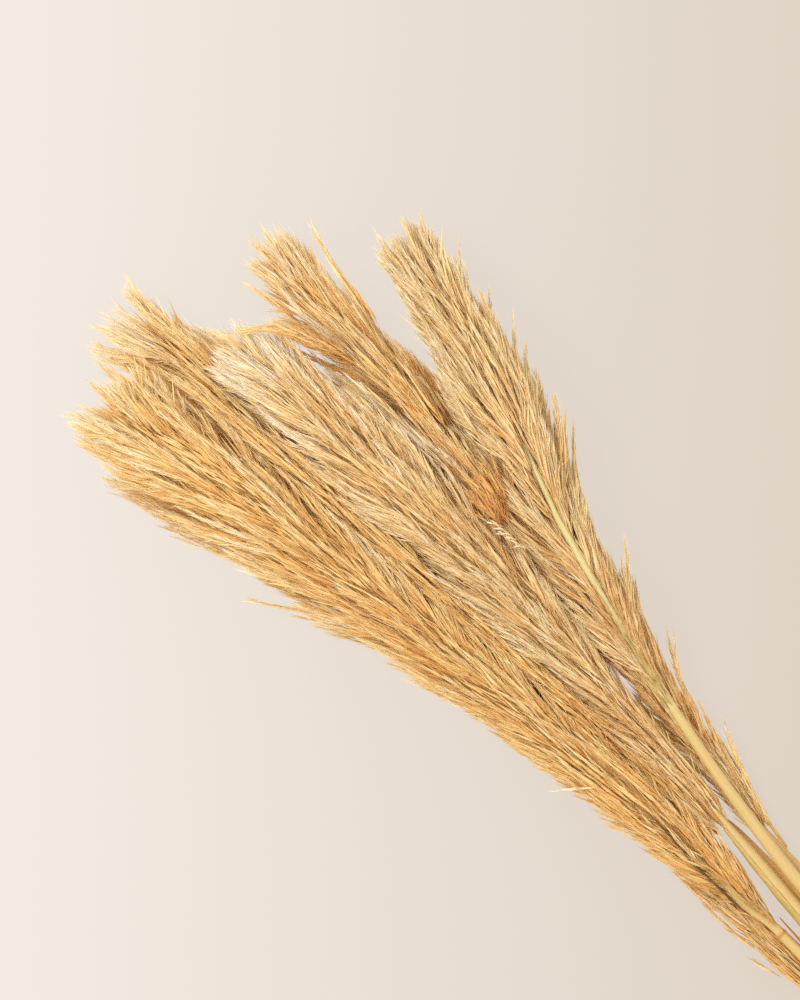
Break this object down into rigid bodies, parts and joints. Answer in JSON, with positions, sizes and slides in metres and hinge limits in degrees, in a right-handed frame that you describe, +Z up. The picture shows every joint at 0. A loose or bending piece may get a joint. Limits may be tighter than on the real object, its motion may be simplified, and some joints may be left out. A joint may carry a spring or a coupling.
{
  "type": "pampas grass bunch",
  "caption": "Bunch of dried pampas grass lying flat: feathery straw-coloured plumes on long pale stems gathered side by side.",
  "frame": {"origin": "middle of the box round the whole bunch, on the surface it lies on", "axes": "+X along the stems from the cut ends to the plume tips, +Y to the left when looking along +X, +Z up from the surface"},
  "size_m": [1.0172, 0.2995, 0.0997],
  "materials": {
    "plume_tan": "matt, fine dry hairs",
    "plume_brown": "matt, fine dry hairs",
    "plume_cream": "matt, fine dry hairs",
    "plume_gold": "matt, fine dry hairs",
    "stem_green": "smooth dry straw, slightly green",
    "stem_pale": "smooth dry straw",
    "stem_orange": "smooth dry straw",
    "dead_leaf": "matt, dry and thin"
  },
  "bodies": {
    "root": {"upper_right_stem": "stem_green", "upper_right_plume": "plume_tan", "lower_right_stem": "stem_pale", "lower_right_plume": "plume_brown", "upper_middle_stem": "stem_pale", "upper_middle_plume": "plume_cream", "lower_middle_stem": "stem_orange", "lower_middle_plume": "plume_gold", "upper_left_stem": "stem_pale", "upper_left_plume": "plume_gold", "lower_left_stem": "stem_pale", "lower_left_plume": "plume_brown", "upper_left_leaf": "dead_leaf"}
  },
  "joints": []
}
